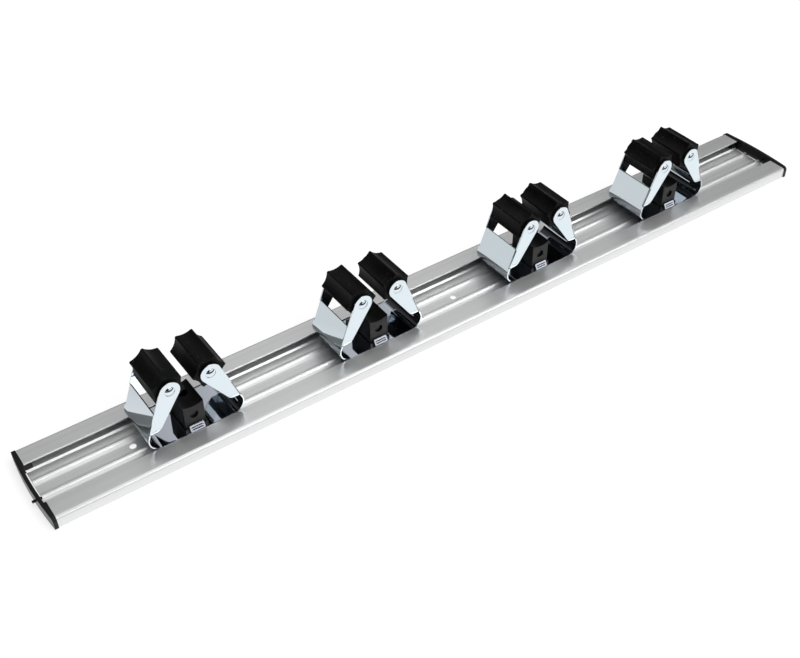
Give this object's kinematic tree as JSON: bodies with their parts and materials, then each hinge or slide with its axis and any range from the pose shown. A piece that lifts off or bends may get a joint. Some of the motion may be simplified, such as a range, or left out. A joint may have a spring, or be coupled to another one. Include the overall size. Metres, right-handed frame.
{
  "type": "wall tool holder",
  "caption": "Wall rail with end caps and sliding spring clips; each clip grips a tool handle between two lobed rubber rollers above a saddle block.",
  "frame": {"origin": "centre of the flat back of the rail", "axes": "+X along the rail, +Y across it (upwards when it hangs on a wall), +Z out of the wall"},
  "size_m": [1.02, 0.1076, 0.0955],
  "materials": {
    "rail_aluminium": "satin anodised",
    "cap_plastic": "moulded, semi-matt",
    "zinc_steel": "bright zinc plated spring steel",
    "axle_steel": "zinc plated",
    "roller_rubber": "matt",
    "block_plastic": "moulded, semi-matt",
    "sleeve_plastic": "plain",
    "foot_plastic": "plain"
  },
  "bodies": {
    "rail": {"rail": "rail_aluminium", "left_end_cap": "cap_plastic", "right_end_cap": "cap_plastic"},
    "holder_1": {"clip_base_1": "zinc_steel", "saddle_block_1": "block_plastic", "slider_foot_1": "foot_plastic", "clamp_screw_1": "axle_steel"},
    "left_arm_1": {"left_arm_1": "zinc_steel", "left_axle_1": "axle_steel"},
    "left_roller_1": {"left_roller_1": "roller_rubber", "left_sleeve_1": "sleeve_plastic"},
    "right_arm_1": {"right_arm_1": "zinc_steel", "right_axle_1": "axle_steel"},
    "right_roller_1": {"right_roller_1": "roller_rubber", "right_sleeve_1": "sleeve_plastic"},
    "holder_2": {"clip_base_2": "zinc_steel", "saddle_block_2": "block_plastic", "slider_foot_2": "foot_plastic", "clamp_screw_2": "axle_steel"},
    "left_arm_2": {"left_arm_2": "zinc_steel", "left_axle_2": "axle_steel"},
    "left_roller_2": {"left_roller_2": "roller_rubber", "left_sleeve_2": "sleeve_plastic"},
    "right_arm_2": {"right_arm_2": "zinc_steel", "right_axle_2": "axle_steel"},
    "right_roller_2": {"right_roller_2": "roller_rubber", "right_sleeve_2": "sleeve_plastic"},
    "holder_3": {"clip_base_3": "zinc_steel", "saddle_block_3": "block_plastic", "slider_foot_3": "foot_plastic", "clamp_screw_3": "axle_steel"},
    "left_arm_3": {"left_arm_3": "zinc_steel", "left_axle_3": "axle_steel"},
    "left_roller_3": {"left_roller_3": "roller_rubber", "left_sleeve_3": "sleeve_plastic"},
    "right_arm_3": {"right_arm_3": "zinc_steel", "right_axle_3": "axle_steel"},
    "right_roller_3": {"right_roller_3": "roller_rubber", "right_sleeve_3": "sleeve_plastic"},
    "holder_4": {"clip_base_4": "zinc_steel", "saddle_block_4": "block_plastic", "slider_foot_4": "foot_plastic", "clamp_screw_4": "axle_steel"},
    "left_arm_4": {"left_arm_4": "zinc_steel", "left_axle_4": "axle_steel"},
    "left_roller_4": {"left_roller_4": "roller_rubber", "left_sleeve_4": "sleeve_plastic"},
    "right_arm_4": {"right_arm_4": "zinc_steel", "right_axle_4": "axle_steel"},
    "right_roller_4": {"right_roller_4": "roller_rubber", "right_sleeve_4": "sleeve_plastic"}
  },
  "joints": [
    {"name": "holder_1_slide", "type": "slide", "parent": "rail", "child": "holder_1", "axis": [1, 0, 0], "range_m": [-0.0925, 0.1005]},
    {"name": "left_arm_1_flex", "type": "hinge", "parent": "holder_1", "child": "left_arm_1", "pos_m": [-0.39175, 0, 0.0245], "axis": [0, -1, 0], "range_deg": [-3.5, 16], "stiffness_Nm_per_rad": 6},
    {"name": "left_roller_1_spin", "type": "hinge", "parent": "left_arm_1", "child": "left_roller_1", "pos_m": [-0.3615, 0, 0.0775], "axis": [0, 1, 0], "continuous": true},
    {"name": "right_arm_1_flex", "type": "hinge", "parent": "holder_1", "child": "right_arm_1", "pos_m": [-0.28725, 0, 0.0245], "axis": [0, 1, 0], "range_deg": [-3.5, 16], "stiffness_Nm_per_rad": 6},
    {"name": "right_roller_1_spin", "type": "hinge", "parent": "right_arm_1", "child": "right_roller_1", "pos_m": [-0.3175, 0, 0.0775], "axis": [0, 1, 0], "continuous": true},
    {"name": "holder_2_slide", "type": "slide", "parent": "rail", "child": "holder_2", "axis": [1, 0, 0], "range_m": [-0.1005, 0.1055]},
    {"name": "left_arm_2_flex", "type": "hinge", "parent": "holder_2", "child": "left_arm_2", "pos_m": [-0.17025, 0, 0.0245], "axis": [0, -1, 0], "range_deg": [-3.5, 16], "stiffness_Nm_per_rad": 6},
    {"name": "left_roller_2_spin", "type": "hinge", "parent": "left_arm_2", "child": "left_roller_2", "pos_m": [-0.14, 0, 0.0775], "axis": [0, 1, 0], "continuous": true},
    {"name": "right_arm_2_flex", "type": "hinge", "parent": "holder_2", "child": "right_arm_2", "pos_m": [-0.06575, 0, 0.0245], "axis": [0, 1, 0], "range_deg": [-3.5, 16], "stiffness_Nm_per_rad": 6},
    {"name": "right_roller_2_spin", "type": "hinge", "parent": "right_arm_2", "child": "right_roller_2", "pos_m": [-0.096, 0, 0.0775], "axis": [0, 1, 0], "continuous": true},
    {"name": "holder_3_slide", "type": "slide", "parent": "rail", "child": "holder_3", "axis": [1, 0, 0], "range_m": [-0.1055, 0.088]},
    {"name": "left_arm_3_flex", "type": "hinge", "parent": "holder_3", "child": "left_arm_3", "pos_m": [0.05625, 0, 0.0245], "axis": [0, -1, 0], "range_deg": [-3.5, 16], "stiffness_Nm_per_rad": 6},
    {"name": "left_roller_3_spin", "type": "hinge", "parent": "left_arm_3", "child": "left_roller_3", "pos_m": [0.0865, 0, 0.0775], "axis": [0, 1, 0], "continuous": true},
    {"name": "right_arm_3_flex", "type": "hinge", "parent": "holder_3", "child": "right_arm_3", "pos_m": [0.16075, 0, 0.0245], "axis": [0, 1, 0], "range_deg": [-3.5, 16], "stiffness_Nm_per_rad": 6},
    {"name": "right_roller_3_spin", "type": "hinge", "parent": "right_arm_3", "child": "right_roller_3", "pos_m": [0.1305, 0, 0.0775], "axis": [0, 1, 0], "continuous": true},
    {"name": "holder_4_slide", "type": "slide", "parent": "rail", "child": "holder_4", "axis": [1, 0, 0], "range_m": [-0.088, 0.1145]},
    {"name": "left_arm_4_flex", "type": "hinge", "parent": "holder_4", "child": "left_arm_4", "pos_m": [0.26525, 0, 0.0245], "axis": [0, -1, 0], "range_deg": [-3.5, 16], "stiffness_Nm_per_rad": 6},
    {"name": "left_roller_4_spin", "type": "hinge", "parent": "left_arm_4", "child": "left_roller_4", "pos_m": [0.2955, 0, 0.0775], "axis": [0, 1, 0], "continuous": true},
    {"name": "right_arm_4_flex", "type": "hinge", "parent": "holder_4", "child": "right_arm_4", "pos_m": [0.36975, 0, 0.0245], "axis": [0, 1, 0], "range_deg": [-3.5, 16], "stiffness_Nm_per_rad": 6},
    {"name": "right_roller_4_spin", "type": "hinge", "parent": "right_arm_4", "child": "right_roller_4", "pos_m": [0.3395, 0, 0.0775], "axis": [0, 1, 0], "continuous": true}
  ]
}
